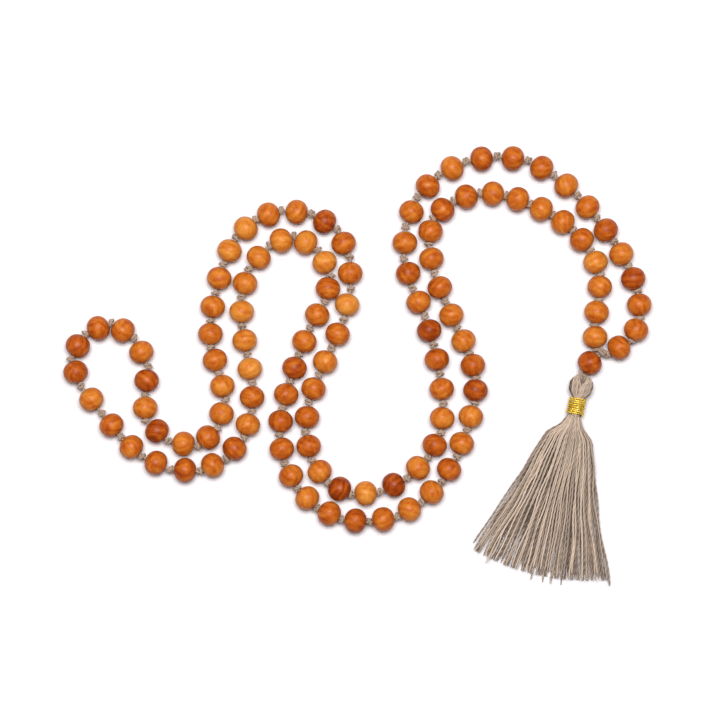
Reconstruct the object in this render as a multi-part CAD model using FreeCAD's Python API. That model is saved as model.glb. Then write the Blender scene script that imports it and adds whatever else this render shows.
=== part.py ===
import FreeCAD, Part

# Mala prayer beads: 108 counting beads hand-knotted on one cotton cord, a guru bead and a tassel.
# The strand lies flat on a table as a long doubled band laid in curves. +Z is up, the table is z = 0,
# and the origin is the middle of the laid strand's footprint. All sizes are in millimetres.

import math
import os

V = FreeCAD.Vector

# Beads: wooden balls, flattened where the hole comes out.
BEAD_R = 4.0
BEAD_LENGTH = 7.3
BORE_R = 0.8
BEAD_COUNT = 108
LAY_Z = BEAD_R

# Cord: one twisted cotton cord with an overhand knot after every bead.
CORD_R = 0.5
KNOT_R_MIN = 0.65
KNOT_R_MAX = 1.3
KNOT_GAP = 0.15
JOINT_GAP = 0.25

# Route of the strand, from the guru bead round the whole loop and back to it. These are the control
# points of one quadratic B-spline that starts at the first point and ends at the last. Two beads lie
# on each unit of its parameter, so knot number j sits at parameter j / 2.
ROUTE = [
    (78.5, 4.5), (77.0, 12.5), (82.0, 29.5), (71.5, 45.0), (57.0, 53.0), (40.5, 58.0), (22.0, 49.0),
    (24.5, 29.5), (33.0, 11.0), (40.5, -4.5), (36.5, -22.0), (28.5, -40.0), (13.5, -52.0),
    (-6.0, -53.0), (-21.0, -42.5), (-27.5, -23.5), (-22.5, -6.0), (-16.5, 11.5), (-5.5, 29.0),
    (-21.0, 46.0), (-38.0, 31.5), (-39.0, 12.0), (-34.0, -6.5), (-36.0, -25.5), (-51.5, -38.0),
    (-72.5, -32.0), (-84.0, -17.0), (-99.0, 2.0), (-81.0, 17.5), (-66.5, -1.0), (-74.0, -20.0),
    (-51.0, -31.5), (-41.5, -11.5), (-50.0, 5.0), (-47.5, 23.0), (-41.5, 42.5), (-26.0, 52.5),
    (-4.5, 46.0), (-1.0, 24.0), (-8.5, 4.5), (-17.5, -12.5), (-17.0, -33.0), (-3.0, -46.0),
    (17.5, -39.0), (29.0, -23.5), (27.5, -3.5), (22.5, 15.5), (13.5, 34.0), (18.0, 56.0),
    (35.0, 68.0), (57.0, 68.5), (73.0, 55.5), (85.0, 40.0), (93.5, 24.0), (93.0, 5.5), (82.0, 3.0),
]
BEADS_PER_SPAN = 2

# The band folds at eleven places, each through one knot on the way out and one on the way back.
FOLD_OUT = [4, 9, 13, 18, 23, 29, 34, 38, 42, 48, 52]
FOLD_BACK = [103, 97, 92, 88, 84, 80, 76, 70, 65, 60, 56]
FIXED_SECTION = 5

# One bead in each section of the band is a part of its own that turns on the cord.
TURNING_BEADS = [105, 100, 95, 15, 21, 25, 79, 73, 68, 44, 58, 54]

# Guru bead, where both ends of the strand meet and the tassel hangs.
GURU_KNOT = V(80.3, 3.6, LAY_Z)
GURU_KNOT_R = 1.0
GURU_CENTRE = V(76.5, 0.0, LAY_Z)

# Tassel: a hank of cotton yarn folded over a small loop of the cord and bound at the neck.
BAR_CENTRE = V(73.5, -8.0, LAY_Z)
TASSEL_TILT = 13.0
LOOP_START = 1.1
LOOP_WAY_ROUND = 2.8
BAR_HALF = 1.5
FOLD_R = 2.2
FOLD_HALF = 0.7
EYE_R = 0.85
SHOULDER_TOP = 0.5
SHOULDER_MIDDLE = 1.8
SHOULDER_HALF = 4.0
NECK_START = 3.2
NECK_R = 2.3
TIE_R = 2.55
BINDING_R = 2.9
BINDING_START = 3.4
BINDING_LENGTH = 6.2
WRAP_GAP = 0.03
SINK = 0.3
OVAL_POINTS = 12
SKIRT_START = 9.7
SKIRT_LENGTH = 54.0
# Half width, half height and height of the middle at each distance down the skirt.
SKIRT_SECTIONS = [
    (0.0, 2.6, 2.6, 4.0), (6.0, 7.8, 3.4, 3.5), (20.0, 13.0, 3.0, 3.0), (38.0, 18.0, 2.3, 2.3),
    (56.0, 24.5, 1.8, 1.8),
]


def build_route():
    """The strand's middle line as a B-spline curve."""
    poles = [V(x, y, LAY_Z) for x, y in ROUTE]
    spans = len(poles) - 2
    curve = Part.BSplineCurve()
    curve.buildFromPolesMultsKnots(poles, [3] + [1] * (spans - 1) + [3], list(range(spans + 1)), False, 2)
    return curve


CURVE = build_route()
KNOTS = [CURVE.value(j / BEADS_PER_SPAN) for j in range(BEAD_COUNT + 1)]


def unit(vector):
    """The same direction with a length of one."""
    return vector * (1.0 / vector.Length)


def rod(start, end, radius):
    """A round rod between two points."""
    return Part.makeCylinder(radius, (end - start).Length, start, end - start)


def ball(centre, radius, axis):
    """A ball about a point, with its poles where the cord runs in and out."""
    return Part.makeSphere(radius, centre, axis)


def fuse(shapes):
    """One clean solid from pieces that run into each other."""
    if len(shapes) == 1:
        return shapes[0]
    return shapes[0].fuse(shapes[1:]).removeSplitter()


def drilled_bead(centre, axis):
    """A ball cut flat at both ends of its bore."""
    flat = math.degrees(math.asin(BEAD_LENGTH / 2 / BEAD_R))
    body = Part.makeSphere(BEAD_R, centre, axis, -flat, flat, 360)
    reach = unit(axis) * BEAD_R
    return body.cut(rod(centre - reach, centre + reach, BORE_R))


def bead(number):
    """Counting bead between knot number - 1 and knot number."""
    before = KNOTS[number - 1]
    after = KNOTS[number]
    return drilled_bead((before + after) * 0.5, after - before)


def spacing(number):
    """Distance between the two knots that hold a bead."""
    return (KNOTS[number] - KNOTS[number - 1]).Length


def knot_radius(j):
    """As large as the gap between the beads on both sides leaves room for."""
    beads = [number for number in (j, j + 1) if 1 <= number <= BEAD_COUNT]
    half_gap = min(spacing(number) - BEAD_LENGTH for number in beads) / 2
    return min(KNOT_R_MAX, max(KNOT_R_MIN, half_gap - KNOT_GAP))


def cord_stretch(first, last, open_start, open_end):
    """Cord from one knot to another, straight through each bead, with its knots.

    At an open end the knot belongs to the next section, and the cord stops just short of it.
    """
    points = KNOTS[first:last + 1]
    if open_start:
        away = unit(points[1] - points[0])
        points[0] = points[0] + away * (knot_radius(first) + JOINT_GAP)
    if open_end:
        away = unit(points[-2] - points[-1])
        points[-1] = points[-1] + away * (knot_radius(last) + JOINT_GAP)
    pieces = [rod(a, b, CORD_R) for a, b in zip(points, points[1:])]
    first_knot = first + 1 if open_start else first
    last_knot = last - 1 if open_end else last
    for j in range(first_knot, last_knot + 1):
        before = KNOTS[max(j - 1, 0)]
        after = KNOTS[min(j + 1, BEAD_COUNT)]
        pieces.append(ball(KNOTS[j], knot_radius(j), after - before))
    return fuse(pieces)


def sections():
    """Each section's stretches as (first knot, last knot), in order from the guru bead."""
    edges_out = [0] + FOLD_OUT
    edges_back = [BEAD_COUNT] + FOLD_BACK
    result = []
    for k in range(len(FOLD_OUT)):
        result.append([(edges_out[k], edges_out[k + 1]), (edges_back[k + 1], edges_back[k])])
    result.append([(FOLD_OUT[-1], FOLD_BACK[-1])])
    return result


def section_cord(k, stretches):
    """All the cord of a section. The section nearer the fixed one keeps the knot of each fold."""
    nearer_fold_open = k > FIXED_SECTION
    further_fold_open = k < FIXED_SECTION
    if len(stretches) == 1:
        first, last = stretches[0]
        return [cord_stretch(first, last, nearer_fold_open, nearer_fold_open)]
    out, back = stretches
    guru_side_open = nearer_fold_open and k > 0
    return [
        cord_stretch(out[0], out[1], guru_side_open, further_fold_open),
        cord_stretch(back[0], back[1], further_fold_open, guru_side_open),
    ]


def guru_end():
    """The two ends of the strand and the knot that joins them above the guru bead."""
    return [
        rod(KNOTS[0], GURU_KNOT, CORD_R),
        rod(KNOTS[-1], GURU_KNOT, CORD_R),
        ball(GURU_KNOT, GURU_KNOT_R, KNOTS[0] - GURU_KNOT),
    ]


def tassel_place(along, across=0.0, height=LAY_Z):
    """A point measured down the tassel from the loop's bar and sideways from its middle line."""
    tilt = math.radians(TASSEL_TILT)
    down = V(-math.sin(tilt), -math.cos(tilt), 0)
    side = V(math.cos(tilt), -math.sin(tilt), 0)
    point = BAR_CENTRE + down * along + side * across
    return V(point.x, point.y, height)


def guru_exit():
    """Where the cord comes out of the guru bead, just past its face."""
    return GURU_CENTRE + unit(GURU_CENTRE - GURU_KNOT) * (BEAD_LENGTH / 2 + 0.2)


def guru_cord():
    """The doubled cord through the guru bead, as one core that stops short of the knot above."""
    way = unit(GURU_CENTRE - GURU_KNOT)
    start = GURU_KNOT + way * (GURU_KNOT_R + JOINT_GAP)
    return rod(start, guru_exit(), CORD_R)


def tassel_loop():
    """The cord's small loop below the guru bead, with a straight bar for the hank to hang on.

    On its far side the loop first passes between the guru bead and the hank's fold.
    """
    corners = [
        GURU_CENTRE + unit(GURU_CENTRE - GURU_KNOT) * (BEAD_LENGTH / 2 + LOOP_START),
        tassel_place(0, -BAR_HALF),
        tassel_place(0, BAR_HALF),
        tassel_place(-LOOP_WAY_ROUND, BAR_HALF),
    ]
    pieces = [rod(a, b, CORD_R) for a, b in zip(corners, corners[1:] + corners[:1])]
    pieces += [ball(point, CORD_R, V(0, 0, 1)) for point in corners]
    return fuse(pieces)


def oval_wire(along, half_width, half_height, middle):
    """An upright oval across the tassel."""
    points = []
    for step in range(OVAL_POINTS):
        turn = 2 * math.pi * step / OVAL_POINTS
        points.append(tassel_place(along, half_width * math.cos(turn), middle + half_height * math.sin(turn)))
    curve = Part.BSplineCurve()
    curve.interpolate(Points=points, PeriodicFlag=True)
    return Part.Wire([curve.toShape()])


def tassel_head():
    """The fold of the hank over the loop's bar, its shoulders and the neck inside the binding."""
    fold = rod(tassel_place(0, -FOLD_HALF), tassel_place(0, FOLD_HALF), FOLD_R)
    shoulder = Part.makeLoft([
        oval_wire(SHOULDER_TOP, FOLD_HALF, FOLD_R - SINK, LAY_Z),
        oval_wire(SHOULDER_MIDDLE, SHOULDER_HALF, 3.2, LAY_Z),
        oval_wire(NECK_START, NECK_R - SINK, NECK_R - SINK, LAY_Z),
    ], True, True)
    neck = rod(tassel_place(SHOULDER_MIDDLE), tassel_place(SKIRT_START), NECK_R)
    eye = rod(tassel_place(0, -SHOULDER_HALF), tassel_place(0, SHOULDER_HALF), EYE_R)
    return fuse([fold, shoulder, neck]).cut(eye)


def sleeve(start, length, inner, outer):
    """A wound layer round the tassel's neck."""
    begin = tassel_place(start)
    end = tassel_place(start + length)
    return rod(begin, end, outer).cut(rod(begin, end, inner))


def neck_tie():
    """Hidden wrap that grips the hank under the gold thread."""
    return sleeve(BINDING_START + 0.6, BINDING_LENGTH - 1.2, NECK_R + WRAP_GAP, TIE_R)


def gold_binding():
    """Rows of gold metallic thread wound over the tie."""
    return sleeve(BINDING_START, BINDING_LENGTH, TIE_R + WRAP_GAP, BINDING_R)


def tassel_skirt():
    """The spread yarns as one fan-shaped body with a rounded lower edge."""
    wires = [oval_wire(SKIRT_START + s, w, h, z) for s, w, h, z in SKIRT_SECTIONS]
    fan = Part.makeLoft(wires, True, True)
    centre = tassel_place(SKIRT_START, 0, -BEAD_R)
    return fan.common(Part.makeCylinder(SKIRT_LENGTH, 4 * BEAD_R, centre))


def save(node, solids):
    """Write one node's solids to its STEP file."""
    shape = solids[0] if len(solids) == 1 else Part.makeCompound(solids)
    for solid in solids:
        if not solid.isValid() or len(solid.Solids) != 1:
            print("check", node, solid.isValid(), len(solid.Solids))
    shape.exportStep("parts/" + node + ".step")


def main():
    os.makedirs("parts", exist_ok=True)
    for k, stretches in enumerate(sections()):
        numbers = [n for first, last in stretches for n in range(first + 1, last + 1)]
        turning = TURNING_BEADS[k]
        save("beads_%02d" % k, [bead(n) for n in numbers if n != turning])
        save("turning_bead_%02d" % k, [bead(turning)])
        cords = section_cord(k, stretches)
        if k == 0:
            cords = [fuse(cords + guru_end())]
        save("cord_%02d" % k, cords)
        print("section", k, "beads", len(numbers), "turning bead", turning)
    save("guru_bead", [drilled_bead(GURU_CENTRE, GURU_CENTRE - GURU_KNOT)])
    save("guru_cord", [guru_cord()])
    save("tassel_loop", [tassel_loop()])
    save("tassel_head", [tassel_head()])
    save("neck_tie", [neck_tie()])
    save("gold_binding", [gold_binding()])
    save("tassel_skirt", [tassel_skirt()])
    length = sum(spacing(n) for n in range(1, BEAD_COUNT + 1))
    print("strand length %.1f" % length)


main()
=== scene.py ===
import math
import random

import bpy
import numpy as np
from mathutils import Matrix, Vector, noise


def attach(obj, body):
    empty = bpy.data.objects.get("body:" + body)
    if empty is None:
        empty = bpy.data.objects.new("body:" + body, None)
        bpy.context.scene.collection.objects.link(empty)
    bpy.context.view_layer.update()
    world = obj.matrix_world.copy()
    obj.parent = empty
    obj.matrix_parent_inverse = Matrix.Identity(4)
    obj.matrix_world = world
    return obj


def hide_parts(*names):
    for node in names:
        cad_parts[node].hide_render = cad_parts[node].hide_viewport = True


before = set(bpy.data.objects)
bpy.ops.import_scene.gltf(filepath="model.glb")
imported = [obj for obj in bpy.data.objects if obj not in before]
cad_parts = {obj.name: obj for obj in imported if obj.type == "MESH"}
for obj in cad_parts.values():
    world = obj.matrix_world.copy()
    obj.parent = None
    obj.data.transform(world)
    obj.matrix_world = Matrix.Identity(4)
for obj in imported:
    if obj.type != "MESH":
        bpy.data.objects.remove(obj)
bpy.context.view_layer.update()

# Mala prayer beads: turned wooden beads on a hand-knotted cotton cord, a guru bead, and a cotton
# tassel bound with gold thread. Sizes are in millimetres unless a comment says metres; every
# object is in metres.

MM = 0.001
# A full turn in radians, rounded, as the random phases and the yarns' waves use it.
ROUGH_TURN = 6.28

# ---- Driving sizes, the same as in the CAD model ----

BEAD_R = 4.0
BEAD_LENGTH = 7.3
BORE_R = 0.8
BEAD_COUNT = 108
LAY_Z = BEAD_R
BEADS_PER_SPAN = 2

# The route's control points in metres, the same as the CAD model's.
ROUTE = [
    (0.0785, 0.0045), (0.0770, 0.0125), (0.0820, 0.0295), (0.0715, 0.0450), (0.0570, 0.0530),
    (0.0405, 0.0580), (0.0220, 0.0490), (0.0245, 0.0295), (0.0330, 0.0110), (0.0405, -0.0045),
    (0.0365, -0.0220), (0.0285, -0.0400), (0.0135, -0.0520), (-0.0060, -0.0530), (-0.0210, -0.0425),
    (-0.0275, -0.0235), (-0.0225, -0.0060), (-0.0165, 0.0115), (-0.0055, 0.0290), (-0.0210, 0.0460),
    (-0.0380, 0.0315), (-0.0390, 0.0120), (-0.0340, -0.0065), (-0.0360, -0.0255), (-0.0515, -0.0380),
    (-0.0725, -0.0320), (-0.0840, -0.0170), (-0.0990, 0.0020), (-0.0810, 0.0175), (-0.0665, -0.0010),
    (-0.0740, -0.0200), (-0.0510, -0.0315), (-0.0415, -0.0115), (-0.0500, 0.0050), (-0.0475, 0.0230),
    (-0.0415, 0.0425), (-0.0260, 0.0525), (-0.0045, 0.0460), (-0.0010, 0.0240), (-0.0085, 0.0045),
    (-0.0175, -0.0125), (-0.0170, -0.0330), (-0.0030, -0.0460), (0.0175, -0.0390), (0.0290, -0.0235),
    (0.0275, -0.0035), (0.0225, 0.0155), (0.0135, 0.0340), (0.0180, 0.0560), (0.0350, 0.0680),
    (0.0570, 0.0685), (0.0730, 0.0555), (0.0850, 0.0400), (0.0935, 0.0240), (0.0930, 0.0055),
    (0.0820, 0.0030),
]
FOLD_OUT = [4, 9, 13, 18, 23, 29, 34, 38, 42, 48, 52]
FOLD_BACK = [103, 97, 92, 88, 84, 80, 76, 70, 65, 60, 56]
FIXED_SECTION = 5
TURNING_BEADS = [105, 100, 95, 15, 21, 25, 79, 73, 68, 44, 58, 54]

GURU_KNOT = np.array((80.3, 3.6, LAY_Z))
GURU_CENTRE = np.array((76.5, 0.0, LAY_Z))
BAR_CENTRE = np.array((73.5, -8.0, LAY_Z))
TASSEL_TILT = math.radians(13.0)
NECK_R = 2.3
BINDING_START = 3.4
BINDING_LENGTH = 6.2
BINDING_R = 2.9
SKIRT_START = 9.7
SKIRT_LENGTH = 54.0

# ---- Camera: straight above the strand ----

VIEW_WIDTH = 237.6
CAMERA_HEIGHT = 1200.0
VIEW_CENTRE = (0.67, 0.99)
SENSOR = 36.0


def make_camera():
    data = bpy.data.cameras.new("camera")
    data.sensor_width = SENSOR
    data.lens = SENSOR * (CAMERA_HEIGHT - LAY_Z) / VIEW_WIDTH
    camera = bpy.data.objects.new("camera", data)
    camera.location = (VIEW_CENTRE[0] * MM, VIEW_CENTRE[1] * MM, CAMERA_HEIGHT * MM)
    bpy.context.collection.objects.link(camera)
    bpy.context.scene.camera = camera


make_camera()

# ---- Mesh helpers ----


def unit(vector):
    return vector / np.linalg.norm(vector)


def add_mesh(name, verts, faces, material, attributes):
    """A smooth mesh object from points in millimetres. attributes are (name, type, values)."""
    mesh = bpy.data.meshes.new(name)
    mesh.from_pydata((np.asarray(verts) * MM).tolist(), [], faces)
    mesh.polygons.foreach_set("use_smooth", [True] * len(mesh.polygons))
    for label, kind, values in attributes:
        layer = mesh.attributes.new(label, kind, "POINT")
        flat = np.asarray(values, dtype=np.float32).ravel()
        layer.data.foreach_set("vector" if kind == "FLOAT_VECTOR" else "value", flat)
    mesh.materials.append(material)
    mesh.update()
    obj = bpy.data.objects.new(name, mesh)
    bpy.context.collection.objects.link(obj)
    return obj


def smooth_line(points, step):
    """A Catmull-Rom line through given points, with samples about step apart."""
    points = [np.asarray(p, dtype=float) for p in points]
    points = [2 * points[0] - points[1]] + points + [2 * points[-1] - points[-2]]
    line = []
    for a, b, c, d in zip(points, points[1:], points[2:], points[3:]):
        count = max(1, int(round(np.linalg.norm(c - b) / step)))
        for t in np.arange(count) / count:
            line.append(0.5 * (2 * b + (c - a) * t + (2 * a - 5 * b + 4 * c - d) * t * t
                               + (3 * b - a - 3 * c + d) * t ** 3))
    line.append(points[-2])
    return np.array(line)


def frames_along(line):
    """Two sideways directions at each point of a line, carried along it without turning."""
    tangents = np.gradient(line, axis=0)
    tangents /= np.linalg.norm(tangents, axis=1)[:, None]
    side = unit(np.cross(tangents[0], (0.31, 0.17, 0.93)))
    sides = []
    for tangent in tangents:
        side = unit(side - tangent * side.dot(tangent))
        sides.append(side)
    sides = np.array(sides)
    return sides, np.cross(tangents, sides)


def yarn_tube(line, radius, plies, depth, pitch, corners, phase=0.0):
    """Points, faces and painted ply shade of a twisted yarn along a line: painted light on the plies'
    crests, painted shade in their grooves.

    radius is one number or one per point. depth is how far the grooves between the plies cut in,
    and pitch is the length in which a ply goes once round.
    """
    sides, ups = frames_along(line)
    steps = np.linalg.norm(np.diff(line, axis=0), axis=1)
    run = np.concatenate([[0.0], np.cumsum(steps)])
    angles = 2 * math.pi * np.arange(corners) / corners
    lobes = np.cos(plies * (angles[None, :] - 2 * math.pi * run[:, None] / pitch) + phase)
    radii = np.broadcast_to(np.asarray(radius, dtype=float), run.shape)[:, None]
    radii = radii * (1 - depth + depth * lobes)
    ring = (np.cos(angles)[None, :, None] * sides[:, None, :]
            + np.sin(angles)[None, :, None] * ups[:, None, :])
    verts = (line[:, None, :] + ring * radii[:, :, None]).reshape(-1, 3)
    faces = []
    for i in range(len(line) - 1):
        base = i * corners
        for k in range(corners):
            after = (k + 1) % corners
            faces.append((base + k, base + after, base + corners + after, base + corners + k))
    last = (len(line) - 1) * corners
    faces.append(tuple(reversed(range(corners))))
    faces.append(tuple(last + k for k in range(corners)))
    # The last values are the painted ply shade, 1 on a ply's crest and 0 in a groove.
    return verts, faces, (0.5 + 0.5 * lobes).ravel()


class Bundle:
    """Collects many yarns into one mesh piece."""

    def __init__(self):
        self.verts = []
        self.faces = []
        self.ply = []
        self.tone = []
        self.total = 0

    def add(self, tube, tone):
        verts, faces, ply = tube
        self.verts.append(verts)
        self.faces += [tuple(self.total + v for v in face) for face in faces]
        self.ply.append(ply)
        self.tone.append(np.full(len(verts), tone))
        self.total += len(verts)

    def build(self, name, material, body, slot, *nodes):
        """The piece itself, riding on its body in place of its CAD nodes."""
        attributes = [
            ("ply", "FLOAT", np.concatenate(self.ply)),
            ("tone", "FLOAT", np.concatenate(self.tone)),
        ]
        piece = add_mesh(name, np.concatenate(self.verts), self.faces, material, attributes)
        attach(piece, body)
        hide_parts(*nodes)
        return piece


# ---- Materials ----

# Colour of the wood from its darkest grain to its lightest.
WOOD_STOPS = [
    (0.0, (0.090, 0.0105, 0.0015)),
    (0.28, (0.270, 0.0400, 0.0035)),
    (0.50, (0.430, 0.0970, 0.0085)),
    (0.74, (0.545, 0.1820, 0.0230)),
    (1.0, (0.650, 0.2900, 0.0600)),
]


def new_material(name):
    material = bpy.data.materials.new(name)
    material.use_nodes = True
    tree = material.node_tree
    return material, tree.nodes, tree.links, tree.nodes["Principled BSDF"]


def attribute_value(nodes, name, output):
    node = nodes.new("ShaderNodeAttribute")
    node.attribute_name = name
    return node.outputs[output]


def put(links, socket, value):
    """Set a socket to a number or link it to an output."""
    if isinstance(value, (int, float)):
        socket.default_value = value
    else:
        links.new(value, socket)


def maths(nodes, links, operation, *values):
    node = nodes.new("ShaderNodeMath")
    node.operation = operation
    for socket, value in zip(node.inputs, values):
        put(links, socket, value)
    return node.outputs[0]


def centred(nodes, links, value, weight):
    """A value from 0 to 1 turned into one about zero with a weight."""
    return maths(nodes, links, "MULTIPLY_ADD", value, weight, -weight / 2)


def ramp(nodes, links, factor, stops):
    node = nodes.new("ShaderNodeValToRGB")
    elements = node.color_ramp.elements
    while len(elements) < len(stops):
        elements.new(0.5)
    for element, (position, colour) in zip(elements, stops):
        element.position = position
        element.color = (*colour, 1)
    links.new(factor, node.inputs["Fac"])
    return node.outputs["Color"]


def noise_value(nodes, links, vector, stretch, scale, detail, distortion=0.0):
    """Noise over a vector that is stretched along an axis."""
    mapping = nodes.new("ShaderNodeMapping")
    mapping.inputs["Scale"].default_value = stretch
    links.new(vector, mapping.inputs["Vector"])
    node = nodes.new("ShaderNodeTexNoise")
    node.inputs["Scale"].default_value = scale
    node.inputs["Detail"].default_value = detail
    node.inputs["Distortion"].default_value = distortion
    links.new(mapping.outputs["Vector"], node.inputs["Vector"])
    return node.outputs["Fac"]


def bump(nodes, links, height, strength, distance, shader):
    node = nodes.new("ShaderNodeBump")
    node.inputs["Strength"].default_value = strength
    node.inputs["Distance"].default_value = distance
    links.new(height, node.inputs["Height"])
    links.new(node.outputs["Normal"], shader.inputs["Normal"])


def wood_material():
    """Waxed turned wood: growth rings, long grain streaks and dark pores, in each bead's own block."""
    material, nodes, links, shader = new_material("turned_wood")
    grain = attribute_value(nodes, "grain", "Vector")
    tone = attribute_value(nodes, "tone", "Fac")

    rings = nodes.new("ShaderNodeTexWave")
    rings.wave_type = "RINGS"
    rings.rings_direction = "Z"
    rings.inputs["Scale"].default_value = 0.16
    rings.inputs["Distortion"].default_value = 5.0
    rings.inputs["Detail"].default_value = 2.0
    rings.inputs["Detail Scale"].default_value = 0.6
    links.new(grain, rings.inputs["Vector"])
    streaks = noise_value(nodes, links, grain, (1.0, 1.0, 0.10), 2.6, 4.0, 0.3)
    figure = noise_value(nodes, links, grain, (1.0, 1.0, 0.45), 0.42, 3.0, 0.6)
    pores = noise_value(nodes, links, grain, (1.0, 1.0, 0.16), 6.5, 2.0)
    flecks = noise_value(nodes, links, grain, (1.0, 1.0, 0.6), 9.0, 2.0)

    shade = maths(nodes, links, "ADD", tone, centred(nodes, links, rings.outputs["Fac"], 0.10))
    shade = maths(nodes, links, "ADD", shade, centred(nodes, links, streaks, 0.30))
    shade = maths(nodes, links, "ADD", shade, centred(nodes, links, figure, 0.75))
    shade = maths(nodes, links, "ADD", shade, centred(nodes, links, flecks, 0.42))
    colour = ramp(nodes, links, shade, WOOD_STOPS)

    pore_mask = ramp(nodes, links, pores, [(0.31, (1, 1, 1)), (0.40, (0, 0, 0))])
    darker = nodes.new("ShaderNodeMix")
    darker.data_type = "RGBA"
    darker.blend_type = "MULTIPLY"
    darker.inputs["B"].default_value = (0.52, 0.36, 0.27, 1)
    links.new(pore_mask, darker.inputs["Factor"])
    links.new(colour, darker.inputs["A"])
    links.new(darker.outputs["Result"], shader.inputs["Base Color"])

    links.new(maths(nodes, links, "MULTIPLY_ADD", streaks, 0.16, 0.28), shader.inputs["Roughness"])
    shader.inputs["Specular IOR Level"].default_value = 0.13
    bump(nodes, links, maths(nodes, links, "SUBTRACT", streaks, pore_mask), 0.10, 0.0002, shader)
    return material


def yarn_material(name, dark, light):
    """Matt spun cotton: fine fibres, with painted light on the plies' crests and painted shade in
    their grooves.
    """
    material, nodes, links, shader = new_material(name)
    tone = attribute_value(nodes, "tone", "Fac")
    ply = attribute_value(nodes, "ply", "Fac")
    place = nodes.new("ShaderNodeTexCoord").outputs["Object"]
    fibre = noise_value(nodes, links, place, (1.0, 1.0, 1.0), 5200.0, 3.0)
    drift = noise_value(nodes, links, place, (1.0, 1.0, 1.0), 160.0, 2.0)
    # The ply value adds painted light on the crests and painted shade in the grooves.
    shade = maths(nodes, links, "ADD", tone, centred(nodes, links, ply, 0.30))
    shade = maths(nodes, links, "ADD", shade, centred(nodes, links, fibre, 0.34))
    shade = maths(nodes, links, "ADD", shade, centred(nodes, links, drift, 0.40))
    links.new(ramp(nodes, links, shade, [(0.0, dark), (1.0, light)]), shader.inputs["Base Color"])
    shader.inputs["Roughness"].default_value = 0.9
    shader.inputs["Specular IOR Level"].default_value = 0.15
    shader.inputs["Sheen Weight"].default_value = 0.15
    shader.inputs["Sheen Roughness"].default_value = 0.6
    bump(nodes, links, fibre, 0.25, 0.00005, shader)
    return material


def gold_material():
    """Metallic thread: small flat foil facets, each tilted by its own bump and given a colour from
    dark to pale as painted glint and shade.
    """
    material, nodes, links, shader = new_material("gold_thread")
    place = nodes.new("ShaderNodeTexCoord").outputs["Object"]
    cells = nodes.new("ShaderNodeTexVoronoi")
    cells.inputs["Scale"].default_value = 2600.0
    links.new(place, cells.inputs["Vector"])
    facet = nodes.new("ShaderNodeSeparateColor")
    links.new(cells.outputs["Color"], facet.inputs["Color"])
    # Each facet's colour, from dark brown to pale yellow, is painted glint and shade for how it
    # catches the light.
    colour = ramp(nodes, links, facet.outputs["Red"], [
        (0.0, (0.42, 0.210, 0.001)), (0.45, (0.90, 0.560, 0.012)), (1.0, (1.0, 0.880, 0.22)),
    ])
    links.new(colour, shader.inputs["Base Color"])
    shader.inputs["Metallic"].default_value = 0.6
    shader.inputs["Specular IOR Level"].default_value = 0.25
    rough = maths(nodes, links, "MULTIPLY_ADD", facet.outputs["Green"], 0.25, 0.20)
    links.new(rough, shader.inputs["Roughness"])
    bump(nodes, links, facet.outputs["Blue"], 0.7, 0.0001, shader)
    return material


WOOD = wood_material()
CORD = yarn_material("cord_cotton", (0.040, 0.020, 0.011), (0.56, 0.41, 0.31))
YARN = yarn_material("tassel_yarn", (0.070, 0.046, 0.032), (0.56, 0.435, 0.340))
GOLD = gold_material()

# ---- The strand's route and knots ----


def read_route():
    """The route's NURBS spline as closely spaced points, in metres."""
    curve = bpy.data.curves.new("route", "CURVE")
    curve.dimensions = "3D"
    spline = curve.splines.new("NURBS")
    spline.points.add(len(ROUTE) - 1)
    for point, (x, y) in zip(spline.points, ROUTE):
        point.co = (x, y, LAY_Z * MM, 1)
    spline.order_u = 3
    spline.use_endpoint_u = True
    spline.resolution_u = 40
    carrier = bpy.data.objects.new("route", curve)
    mesh = bpy.data.meshes.new_from_object(carrier)
    line = np.array([vertex.co[:] for vertex in mesh.vertices])
    bpy.data.meshes.remove(mesh)
    bpy.data.objects.remove(carrier)
    bpy.data.curves.remove(curve)
    return line


LINE = read_route() / MM
SPANS = len(ROUTE) - 2


def line_index(knot):
    """Where on LINE a knot sits, as an index with a fraction."""
    return knot / BEADS_PER_SPAN / SPANS * (len(LINE) - 1)


def knot_place(knot):
    index = line_index(knot)
    low = min(int(index), len(LINE) - 2)
    return LINE[low] + (LINE[low + 1] - LINE[low]) * (index - low)


KNOTS = [knot_place(j) for j in range(BEAD_COUNT + 1)]


def section_of(bead):
    """The band's section that a bead belongs to."""
    return sum(1 for out, back in zip(FOLD_OUT, FOLD_BACK) if out < bead <= back)


# ---- Cord and knots ----

CORD_STRAND_R = 0.50
TWIST_PITCH = 3.4
CORD_PLIES = 3
CORD_GROOVE = 0.18
CORD_TONE = 0.50
CORD_CORNERS = 12
CORD_STEP = 0.2
# Least and most that a knot is drawn together or out along the cord, and the gap it fits as it is.
KNOT_SQUEEZE = (0.55, 1.25)
KNOT_HALF_GAP = 1.0
# How much nearer or farther each point of a knot lies than in the pattern.
KNOT_WOBBLE = (0.93, 1.07)
# A pulled-down overhand knot: (along, out, up), where 1 is the cord's radius.
OVERHAND = [
    (-1.35, -0.25, -0.35), (-0.45, 0.30, -1.30), (0.55, 1.45, -1.25), (1.05, 1.95, 0.30),
    (0.75, 0.95, 1.80), (0.20, -0.85, 1.90), (-0.35, -2.00, 0.75), (-0.55, -1.80, -1.00),
    (-0.70, -0.35, -2.05), (-0.95, 1.40, -1.50), (-1.00, 1.95, 0.25), (-0.65, 1.05, 1.45),
    (0.10, 0.00, 0.85), (0.80, -0.40, 0.20),
]


def cord_tube(line, radius, groove):
    """A twisted three-ply cord along a line."""
    return yarn_tube(line, radius, CORD_PLIES, groove, TWIST_PITCH, CORD_CORNERS)


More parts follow.
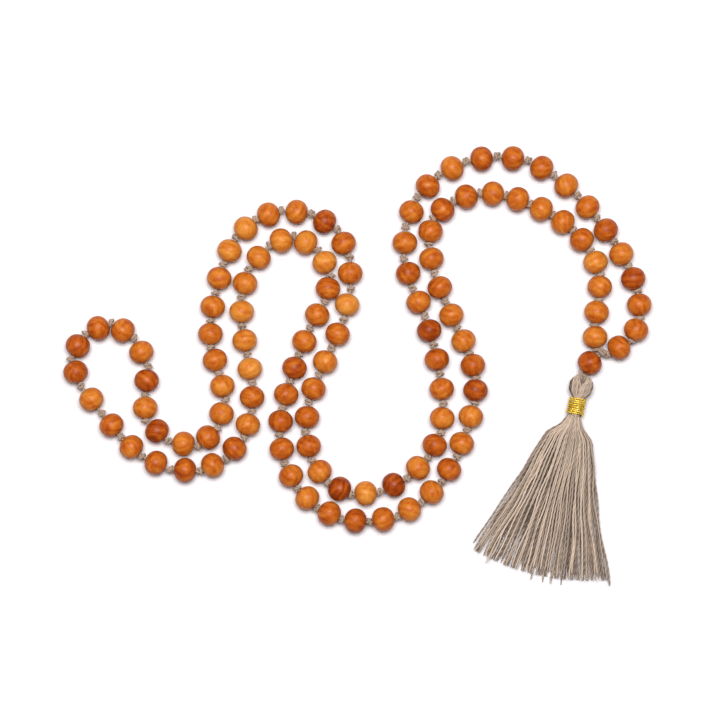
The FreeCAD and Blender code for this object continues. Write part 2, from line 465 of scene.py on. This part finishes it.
def wound(pattern, place, way, turn, hand, squeeze=1.0, wobble=lambda: 1.0):
    """A knot's pattern set about a place, turned about the cord and left- or right-handed."""
    way = unit(way)
    side = unit(np.cross(way, (0.05, 0.11, 0.99)))
    up = np.cross(way, side)
    points = []
    for along, out, high in pattern:
        push = wobble()
        out *= push
        high *= push * hand
        across = side * (out * math.cos(turn) - high * math.sin(turn))
        above = up * (out * math.sin(turn) + high * math.cos(turn))
        points.append(place + (way * along * squeeze + across + above) * CORD_STRAND_R)
    return points


def overhand(place, way, room, rng):
    """Points of one overhand knot about a place, turned at random about the cord."""
    turn = rng.uniform(0, 2 * math.pi)
    hand = rng.choice((-1, 1))
    squeeze = min(KNOT_SQUEEZE[1], max(KNOT_SQUEEZE[0], room / KNOT_HALF_GAP))
    return wound(OVERHAND, place, way, turn, hand, squeeze, lambda: rng.uniform(*KNOT_WOBBLE))


def half_gap(knot):
    """Half of the room that the beads leave for a knot."""
    beads = [bead for bead in (knot, knot + 1) if 1 <= bead <= BEAD_COUNT]
    spaces = [np.linalg.norm(KNOTS[bead] - KNOTS[bead - 1]) for bead in beads]
    return (min(spaces) - BEAD_LENGTH) / 2


# How far inside the neighbouring knot a stretch of cord starts where a fold cuts the cord.
INSIDE_KNOT = 0.2
# Where the cord is held straight through a bead, as shares of the way from knot to knot.
STRAIGHT_SHARES = (-0.36, -0.2, 0.0, 0.2, 0.36)


def stretch_line(first, last, first_knot, last_knot, rng):
    """The cord's middle line over a stretch: straight through each bead and round its own knots."""
    points = []
    for knot in range(first, last + 1):
        if first_knot <= knot <= last_knot:
            before = KNOTS[max(knot - 1, 0)]
            after = KNOTS[min(knot + 1, BEAD_COUNT)]
            points += overhand(KNOTS[knot], after - before, half_gap(knot), rng)
        else:
            inner = KNOTS[knot + 1] if knot == first else KNOTS[knot - 1]
            points.append(KNOTS[knot] + unit(inner - KNOTS[knot]) * INSIDE_KNOT)
        if knot < last:
            middle = (KNOTS[knot] + KNOTS[knot + 1]) / 2
            for share in STRAIGHT_SHARES:
                points.append(middle + (KNOTS[knot + 1] - KNOTS[knot]) * share)
    return smooth_line(points, CORD_STEP)


def cord_piece(name, section, first, last, first_knot, last_knot):
    """One stretch of the strand's cord with its knots."""
    rng = random.Random(first * 131 + last)
    bundle = Bundle()
    line = stretch_line(first, last, first_knot, last_knot, rng)
    bundle.add(cord_tube(line, CORD_STRAND_R, CORD_GROOVE), CORD_TONE)
    piece = bundle.build(name, CORD, "section_%02d" % section, "cord_cotton", "cord_%02d" % section)


# The knot above the guru bead, wound from both ends of the cord: (along, out, up) in cord radii.
GURU_WRAP = [
    (-1.9, -0.2, -0.6), (-1.2, 1.9, -1.2), (-0.7, 2.1, 1.0), (-0.4, 0.2, 2.3), (0.0, -2.0, 1.1),
    (0.3, -2.1, -1.0), (0.6, 0.0, -2.3), (0.9, 2.0, -1.0), (1.0, 1.9, 1.1), (0.8, 0.0, 2.1),
    (0.4, -1.6, 0.9), (0.5, -0.9, -0.7), (1.6, -0.2, -0.3),
]
# Hand and turn of each end's winding.
GURU_ENDS = [(1, 0.4), (-1, 2.3)]
# Where an end leaves the strand's last knot for the guru knot, as a share of the way.
GURU_LEAD = 0.35


def make_guru_knot():
    """Both ends of the strand run together into one larger knot."""
    bundle = Bundle()
    way = GURU_CENTRE - GURU_KNOT
    ends = [(KNOTS[0], KNOTS[1]), (KNOTS[-1], KNOTS[-2])]
    for (end, neighbour), (hand, turn) in zip(ends, GURU_ENDS):
        start = end + unit(neighbour - end) * INSIDE_KNOT
        points = [start, end + (GURU_KNOT - end) * GURU_LEAD]
        line = smooth_line(points + wound(GURU_WRAP, GURU_KNOT, way, turn, hand), CORD_STEP)
        bundle.add(cord_tube(line, CORD_STRAND_R, CORD_GROOVE), CORD_TONE)
    return bundle.build("guru_knot", CORD, "section_00", "cord_cotton", "cord_00")


def make_cords():
    """Each section's cord. The section nearer the fixed one keeps the knot of each fold."""
    out_edges = [0] + FOLD_OUT
    back_edges = [BEAD_COUNT] + FOLD_BACK
    for k in range(len(FOLD_OUT)):
        near = 0 if k <= FIXED_SECTION else 1
        far = 0 if k >= FIXED_SECTION else 1
        first, last = out_edges[k], out_edges[k + 1]
        along = [make_guru_knot()] if k == 0 else []
        cord_piece("cord_out_%02d" % k, k, first, last, first + near, last - far)
        first, last = back_edges[k + 1], back_edges[k]
        cord_piece("cord_back_%02d" % k, k, first, last, first + far, last - near)
    first, last = FOLD_OUT[-1], FOLD_BACK[-1]
    cord_piece("cord_end", len(FOLD_OUT), first, last, first + 1, last - 1)


make_cords()

# ---- Beads ----

DARKEST_BEADS = {83, 85, 91}
DARK_BEADS = {18, 21, 25, 30, 32, 46, 48, 53, 54, 58, 60, 73, 87, 90, 93, 103, 105}
DULL_BEADS = {17, 44, 51, 55, 81, 98, 100}
FAIR_BEADS = {1, 16, 23, 40, 52, 61, 78, 104}
LIGHT_BEADS = {4, 36, 37, 38, 41, 42, 43, 69, 70, 76, 84}
# How light the wood of each group is, from 0 to 1, and of all other beads.
BEAD_TONES = [
    (DARKEST_BEADS, (0.24, 0.30)), (DARK_BEADS, (0.34, 0.42)), (DULL_BEADS, (0.44, 0.48)),
    (FAIR_BEADS, (0.61, 0.65)), (LIGHT_BEADS, (0.68, 0.78)),
]
OTHER_TONES = (0.46, 0.64)
GURU_TONE = 0.36
GURU_SEED = 977
ROUND_STEPS = 26
AROUND = 48
# The edge of the drilled hole, from inside it out to the bead's end: (along from the end, radius).
MOUTH = [(0.75, 0.8), (0.28, 0.82), (0.08, 0.96), (0.0, 1.16)]
# A turned bead is a little fuller than a ball: half width, half length before the flat ends are cut,
# and fullness, where 2 is a ball.
TURNED_R = 4.10
TURNED_HALF = 3.79
FULLNESS = 2.12
# Least and most share of its length that a bead has, and how far hand sanding leaves it uneven.
SHORTENING = (0.975, 1.0)
SANDED = 0.994
UNEVEN = 0.009
UNEVEN_SCALE = 0.35


def bead_profile(shortening):
    """The bead's half section as (along the bore, radius) points, once round."""
    end = BEAD_LENGTH / 2 * shortening
    mouth = [(-end + depth, radius) for depth, radius in MOUTH]
    start = math.acos((BEAD_LENGTH / 2 / TURNED_HALF) ** (FULLNESS / 2))
    middle = []
    for i in range(ROUND_STEPS + 1):
        angle = start + (math.pi - 2 * start) * i / ROUND_STEPS
        reach = abs(math.cos(angle)) ** (2 / FULLNESS)
        along = -math.copysign(reach, math.cos(angle)) * TURNED_HALF
        middle.append((along * shortening, TURNED_R * math.sin(angle) ** (2 / FULLNESS)))
    return mouth + middle + [(-along, radius) for along, radius in reversed(mouth)]


def bead_piece(name, centre, axis, tone, seed):
    """One turned bead with its drilled hole, a little uneven, cut from its own place in a block."""
    rng = random.Random(seed)
    axis = unit(axis)
    side = unit(np.cross(axis, (0.13, 0.29, 0.95)))
    up = np.cross(axis, side)
    profile = bead_profile(rng.uniform(*SHORTENING))
    verts = []
    for along, radius in profile:
        for angle in 2 * math.pi * np.arange(AROUND) / AROUND:
            point = axis * along + (side * math.cos(angle) + up * math.sin(angle)) * radius
            if radius > BORE_R + 0.4:
                lump = noise.noise(Vector(point * UNEVEN_SCALE) + Vector((seed * 3.7, 0, 0)))
                point = point * (SANDED + UNEVEN * lump)
            verts.append(point)
    rows = len(profile)
    faces = []
    for i in range(rows):
        base = i * AROUND
        over = (i + 1) % rows * AROUND
        for k in range(AROUND):
            after = (k + 1) % AROUND
            faces.append((base + k, base + after, over + after, over + k))
    verts = np.array(verts)
    lean = Matrix.Rotation(rng.uniform(0, ROUGH_TURN), 3, "X")
    block = lean @ Matrix.Rotation(rng.uniform(0, ROUGH_TURN), 3, "Y")
    offset = np.array([rng.uniform(3, 30), rng.uniform(3, 30), rng.uniform(0, 200)])
    attributes = [
        ("grain", "FLOAT_VECTOR", verts @ np.array(block) + offset),
        ("tone", "FLOAT", np.full(len(verts), tone)),
    ]
    return add_mesh(name, verts + centre, faces, WOOD, attributes)


def bead_tone(number, rng):
    """How light a bead's wood is, from 0 to 1."""
    for group, tones in BEAD_TONES:
        if number in group:
            return rng.uniform(*tones)
    return rng.uniform(*OTHER_TONES)


def place_bead(piece, body, node):
    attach(piece, body)
    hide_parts(node)


def make_beads():
    rng = random.Random(21)
    for number in range(1, BEAD_COUNT + 1):
        before = KNOTS[number - 1]
        after = KNOTS[number]
        section = section_of(number)
        tone = bead_tone(number, rng)
        middle = (before + after) / 2
        piece = bead_piece("bead_%03d" % number, middle, after - before, tone, number)
        if number == TURNING_BEADS[section]:
            place_bead(piece, "turning_bead_%02d" % section, "turning_bead_%02d" % section)
        else:
            place_bead(piece, "section_%02d" % section, "beads_%02d" % section)
    guru = bead_piece("guru", GURU_CENTRE, GURU_CENTRE - GURU_KNOT, GURU_TONE, GURU_SEED)
    place_bead(guru, "guru_bead", "guru_bead")


make_beads()

# ---- Guru cord and the tassel's loop ----

GURU_CORD_R = 0.36
GURU_CORD_GROOVE = 0.10
# Where the doubled cord starts inside the guru knot, and where it ends past the guru bead.
GURU_CORD_START = 0.9
GURU_CORD_END = 3.95
HANG_STRAND_R = 0.42
HANG_GROOVE = 0.15
HANG_TONE = 0.45
HANG_START = 0.5


def tassel_place(along, across=0.0, height=LAY_Z):
    """A point measured down the tassel from the loop's bar and sideways from its middle line."""
    sin = math.sin(TASSEL_TILT)
    cos = math.cos(TASSEL_TILT)
    x = BAR_CENTRE[0] - sin * along + cos * across
    y = BAR_CENTRE[1] - cos * along - sin * across
    return np.array((x, y, height))


def make_guru_cord():
    """The two ends of the cord side by side through the guru bead."""
    way = unit(GURU_CENTRE - GURU_KNOT)
    side = unit(np.cross(way, (0, 0, 1)))
    bundle = Bundle()
    for hand in (-1, 1):
        shift = side * GURU_CORD_R * hand
        points = [
            GURU_KNOT + way * GURU_CORD_START + shift, GURU_CENTRE + shift,
            GURU_CENTRE + way * GURU_CORD_END + shift,
        ]
        tube = cord_tube(smooth_line(points, CORD_STEP), GURU_CORD_R, GURU_CORD_GROOVE)
        bundle.add(tube, CORD_TONE)
    bundle.build("guru_cords", CORD, "guru_cord", "cord_cotton", "guru_cord")


def make_tassel_loop():
    """The small loop that the tassel's hank is folded over. Its legs lie in the hank's parting."""
    way = unit(GURU_CENTRE - GURU_KNOT)
    top = GURU_CENTRE + way * (BEAD_LENGTH / 2 + HANG_START)
    side = unit(np.cross(way, (0, 0, 1)))
    points = [
        top + side * 0.45 - way * 0.4, top + side * 0.45 + way * 0.2,
        tassel_place(-4.3, -0.9, LAY_Z + 0.5), tassel_place(-3.3, -0.62, LAY_Z + 1.5),
        tassel_place(-2.5, -0.42, LAY_Z + 1.3), tassel_place(-1.5, -0.3, LAY_Z - 0.2),
        tassel_place(0.0, -0.45), tassel_place(0.1, 0.0), tassel_place(0.0, 0.45),
        tassel_place(-1.5, 0.25, LAY_Z - 0.3), tassel_place(-2.5, 0.38, LAY_Z + 1.1),
        tassel_place(-3.3, 0.6, LAY_Z + 1.4), tassel_place(-4.0, 0.55, LAY_Z + 0.6),
        top - side * 0.5 + way * 0.5, top - side * 0.45 - way * 0.4,
    ]
    bundle = Bundle()
    line = smooth_line(points, CORD_STEP)
    bundle.add(cord_tube(line, HANG_STRAND_R, HANG_GROOVE), HANG_TONE)
    bundle.build("tassel_loop_cord", CORD, "tassel_loop", "cord_cotton", "tassel_loop")


make_guru_cord()
make_tassel_loop()

# ---- Tassel: head, neck tie, gold binding and skirt ----

YARN_PLIES = 2
YARN_PITCH = 4.6
YARN_CORNERS = 9
HEAD_YARN_R = 0.33
HEAD_GROOVE = 0.12
HEAD_STEP = 0.3
HEAD_TOP = 3.8
# Half width and half height of the head at each distance down from the bar, and half of the parting
# that stays open round the loop's legs.
HEAD_SHAPE = [
    (-3.8, 2.0, 0.3, 1.25), (-3.2, 3.1, 1.6, 1.25), (-2.2, 3.9, 2.6, 1.0), (-1.3, 4.2, 2.95, 0.6),
    (-0.3, 4.35, 3.0, 0.0), (1.0, 4.25, 3.0, 0.0), (2.0, 3.7, 2.8, 0.0), (2.9, 2.7, 2.45, 0.0),
    (3.5, 2.15, 2.15, 0.0), (6.0, 1.95, 1.95, 0.0), (9.6, 1.95, 1.95, 0.0),
]
# The hank's layers of yarn from the outside in: (level, yarns).
HEAD_LAYERS = [(0.97, 14), (0.72, 13), (0.45, 8)]
OUTER_LEVEL = 0.97
HEAD_TONES = (0.40, 0.74)
# Painted shade: how much darker the yarns are made with depth in the hank.
PAINTED_DEPTH_SHADE = 1.2


def tassel_yarn_tube(line, radius, groove, rng):
    """A two-ply yarn along a line, its twist starting anywhere."""
    phase = rng.uniform(0, ROUGH_TURN)
    return yarn_tube(line, radius, YARN_PLIES, groove, YARN_PITCH, YARN_CORNERS, phase)


def oval(across, above):
    """A place in a square turned into the matching place in a disc."""
    return across * math.sqrt(1 - above * above / 2), above * math.sqrt(1 - across * across / 2)


def head_yarn(share, level, rng):
    """A yarn from under the neck, over the loop's bar, to the top of the neck."""
    across, above = oval(share, level)
    jitter = rng.uniform(-0.10, 0.10)
    front = []
    back = []
    for along, width, height, parting in HEAD_SHAPE:
        aside = math.copysign(parting, share) + across * (width - parting) + jitter * width / 4
        along = max(along, -HEAD_TOP * level)
        front.append(tassel_place(along, aside, LAY_Z + above * height))
        back.append(tassel_place(along, aside * 0.98, LAY_Z - above * height))
    return smooth_line(back[::-1] + front, HEAD_STEP)


def squeezed(line, radius):
    """A yarn's radius along its line: pressed thinner inside the binding."""
    down = unit(tassel_place(1) - tassel_place(0))
    along = (line - BAR_CENTRE) @ down
    return radius * np.interp(along, (1.0, BINDING_START), (1.0, 0.75))


def make_head():
    rng = random.Random(5)
    bundle = Bundle()
    for level, count in HEAD_LAYERS:
        for i in range(count):
            share = -1 + 2 * (i + 0.5) / count
            line = head_yarn(share * OUTER_LEVEL, level, rng)
            radius = squeezed(line, HEAD_YARN_R * rng.uniform(0.88, 1.0))
            tube = tassel_yarn_tube(line, radius, HEAD_GROOVE, rng)
            # Yarns deeper in the hank are made darker as painted shade.
            bundle.add(tube, rng.uniform(*HEAD_TONES) - (OUTER_LEVEL - level) * PAINTED_DEPTH_SHADE)
    bundle.build("tassel_head_yarns", YARN, "tassel", "tassel_yarn", "tassel_head")


THREAD_PLIES = 3
THREAD_PITCH = 1.7
THREAD_STEP = 0.16
STEPS_A_TURN = 20


def wound_thread(name, material, slot, node, start, length, centre_r, thread_r, turns, groove,
                 corners, wobble):
    """Thread wound round the tassel's neck in close rows."""
    rng = random.Random(len(name))
    down = unit(tassel_place(1) - tassel_place(0))
    side = unit(tassel_place(0, 1) - tassel_place(0))
    begin = tassel_place(start)
    points = []
    count = turns * STEPS_A_TURN
    for i in range(count + 1):
        angle = 2 * math.pi * i / STEPS_A_TURN
        radius = centre_r + rng.uniform(-wobble, wobble)
        along = thread_r + (length - 2 * thread_r) * i / count
        ring = side * math.cos(angle) + np.array((0, 0, 1)) * math.sin(angle)
        points.append(begin + down * (along + rng.uniform(-wobble, wobble)) + ring * radius)
    bundle = Bundle()
    line = smooth_line(points, THREAD_STEP)
    tube = yarn_tube(line, thread_r, THREAD_PLIES, groove, THREAD_PITCH, corners)
    bundle.add(tube, 0.5)
    bundle.build(name, material, "tassel", slot, node)


# Half width and half height of the skirt, and the height of its middle, at each distance down it.
SKIRT_SHAPE = np.array([
    (0.0, 2.1, 2.1, 4.0), (3.5, 3.7, 2.8, 3.9), (7.5, 7.6, 3.1, 3.6), (16.6, 10.9, 2.9, 3.2),
    (23.0, 12.6, 2.7, 3.0), (32.0, 15.9, 2.3, 2.7), (48.5, 22.4, 1.8, 2.3), (57.0, 25.6, 1.5, 2.0),
])
# The skirt's layers of yarn from the lowest up: (level, yarns, tone). The tones are painted shade by
# depth: the middle layer, seen in the gaps between the top layer's yarns, is darkest, and the top
# layer palest.
SKIRT_LAYERS = [(-0.85, 56, 0.50), (-0.1, 44, 0.28), (0.8, 36, 0.66)]
SKIRT_YARN_R = 0.34
SKIRT_GROOVE = 0.14
SKIRT_STEP = 0.45
SKIRT_POINT_STEP = 2.0
# The yarns hang free from this far down. Then each sways by itself, drifts with its neighbours, and
# rises and falls a little.
SKIRT_FREE = 22.0
SKIRT_SWAY = 0.35
SKIRT_DRIFT = 0.55
SKIRT_RISE = 0.25
SKIRT_TONE_SPREAD = 0.26
# A cut end is thinner over its last four rows.
CUT_END = (0.95, 0.8, 0.6, 0.35)


def skirt_yarn(share, level, rng):
    """One hanging yarn: spread with its neighbours, with a gentle wander of its own."""
    across = share * math.sqrt(1 - level * level / 4)
    above = level * math.sqrt(1 - share * share / 2)
    length = SKIRT_LENGTH + rng.gauss(0.3, 0.9)
    sway = rng.uniform(-1, 1)
    wave = rng.uniform(14, 26)
    phase = rng.uniform(0, ROUGH_TURN)
    lift = rng.uniform(0, ROUGH_TURN)
    points = []
    for down in np.arange(0, length + 0.1, SKIRT_POINT_STEP):
        width, height, middle = (
            np.interp(down, SKIRT_SHAPE[:, 0], SKIRT_SHAPE[:, column]) for column in (1, 2, 3))
        loose = min(1.0, down / SKIRT_FREE)
        turned = ROUGH_TURN * down / wave
        drift = SKIRT_DRIFT * noise.noise(Vector((share * 2.3, level * 1.1, down * 0.045)))
        aside = across * width + loose * (sway * SKIRT_SWAY * math.sin(turned + phase) + drift)
        ripple = SKIRT_RISE * loose * math.sin(turned + lift)
        rise = middle + above * (height - SKIRT_YARN_R) + ripple
        shorten = math.cos(math.atan2(across * width, down + 6))
        rise = max(rise, SKIRT_YARN_R + 0.05)
        points.append(tassel_place(SKIRT_START + down * shorten, aside, rise))
    return smooth_line(points, SKIRT_STEP)


def make_skirt():
    rng = random.Random(9)
    for layer, (layer_level, count, tone) in enumerate(SKIRT_LAYERS):
        bundle = Bundle()
        for i in range(count):
            share = -1 + 2 * (i + 0.5 + rng.uniform(-0.22, 0.22)) / count
            level = max(-0.98, min(0.98, layer_level + rng.uniform(-0.25, 0.25)))
            line = skirt_yarn(max(-0.97, min(0.97, share)), level, rng)
            grown = np.interp(np.arange(len(line)) * SKIRT_STEP, (0.0, 14.0), (0.60, 1.0))
            radius = grown * SKIRT_YARN_R * rng.uniform(0.86, 1.06)
            radius[-len(CUT_END):] *= CUT_END
            tube = tassel_yarn_tube(line, radius, SKIRT_GROOVE, rng)
            # The layer's tone is painted shade by depth, with a random spread of each yarn's own tone.
            bundle.add(tube, tone + rng.uniform(-SKIRT_TONE_SPREAD, SKIRT_TONE_SPREAD))
        bundle.build("tassel_skirt_yarns_%d" % layer, YARN, "tassel", "tassel_yarn", "tassel_skirt")


make_head()
wound_thread(
    "neck_tie_thread", YARN, "tie_thread", "neck_tie", start=BINDING_START + 0.6,
    length=BINDING_LENGTH - 1.2, centre_r=NECK_R - 0.02, thread_r=0.2, turns=12, groove=0.1,
    corners=8, wobble=0.0,
)
wound_thread(
    "gold_thread_rows", GOLD, "gold_thread", "gold_binding", start=BINDING_START,
    length=BINDING_LENGTH, centre_r=BINDING_R - 0.32, thread_r=0.36, turns=8, groove=0.30,
    corners=12, wobble=0.04,
)
make_skirt()

# ---- Floor and light ----

FLOOR_HALF = 1500.0
LIGHT_DISTANCE = 1600.0
LIGHT_LEAN = math.radians(11.0)
# In metres and watts.
LIGHT_SIZE = (0.9, 0.6)
LIGHT_POWER = 43.0
ROOM_LIGHT = 0.08


def make_floor():
    material, nodes, links, shader = new_material("white_table")
    shader.inputs["Base Color"].default_value = (0.69, 0.665, 0.685, 1)
    shader.inputs["Roughness"].default_value = 0.85
    shader.inputs["Specular IOR Level"].default_value = 0.0
    corners = [(x * FLOOR_HALF, y * FLOOR_HALF, 0) for x, y in ((-1, -1), (1, -1), (1, 1), (-1, 1))]
    floor = add_mesh("table", corners, [(0, 1, 2, 3)], material, [])


def make_light():
    data = bpy.data.lights.new("softbox", "AREA")
    data.shape = "RECTANGLE"
    data.size, data.size_y = LIGHT_SIZE
    data.energy = LIGHT_POWER
    data.color = (1.0, 0.99, 0.98)
    light = bpy.data.objects.new("softbox", data)
    reach = LIGHT_DISTANCE * MM
    light.location = (0, reach * math.sin(LIGHT_LEAN), reach * math.cos(LIGHT_LEAN))
    light.rotation_euler = (-LIGHT_LEAN, 0, 0)
    bpy.context.collection.objects.link(light)
    world = bpy.data.worlds.new("room")
    world.use_nodes = True
    background = world.node_tree.nodes["Background"]
    background.inputs["Color"].default_value = (0.97, 0.98, 1.0, 1)
    background.inputs["Strength"].default_value = ROOM_LIGHT
    bpy.context.scene.world = world


make_floor()
make_light()
bpy.context.scene.view_settings.view_transform = "Standard"
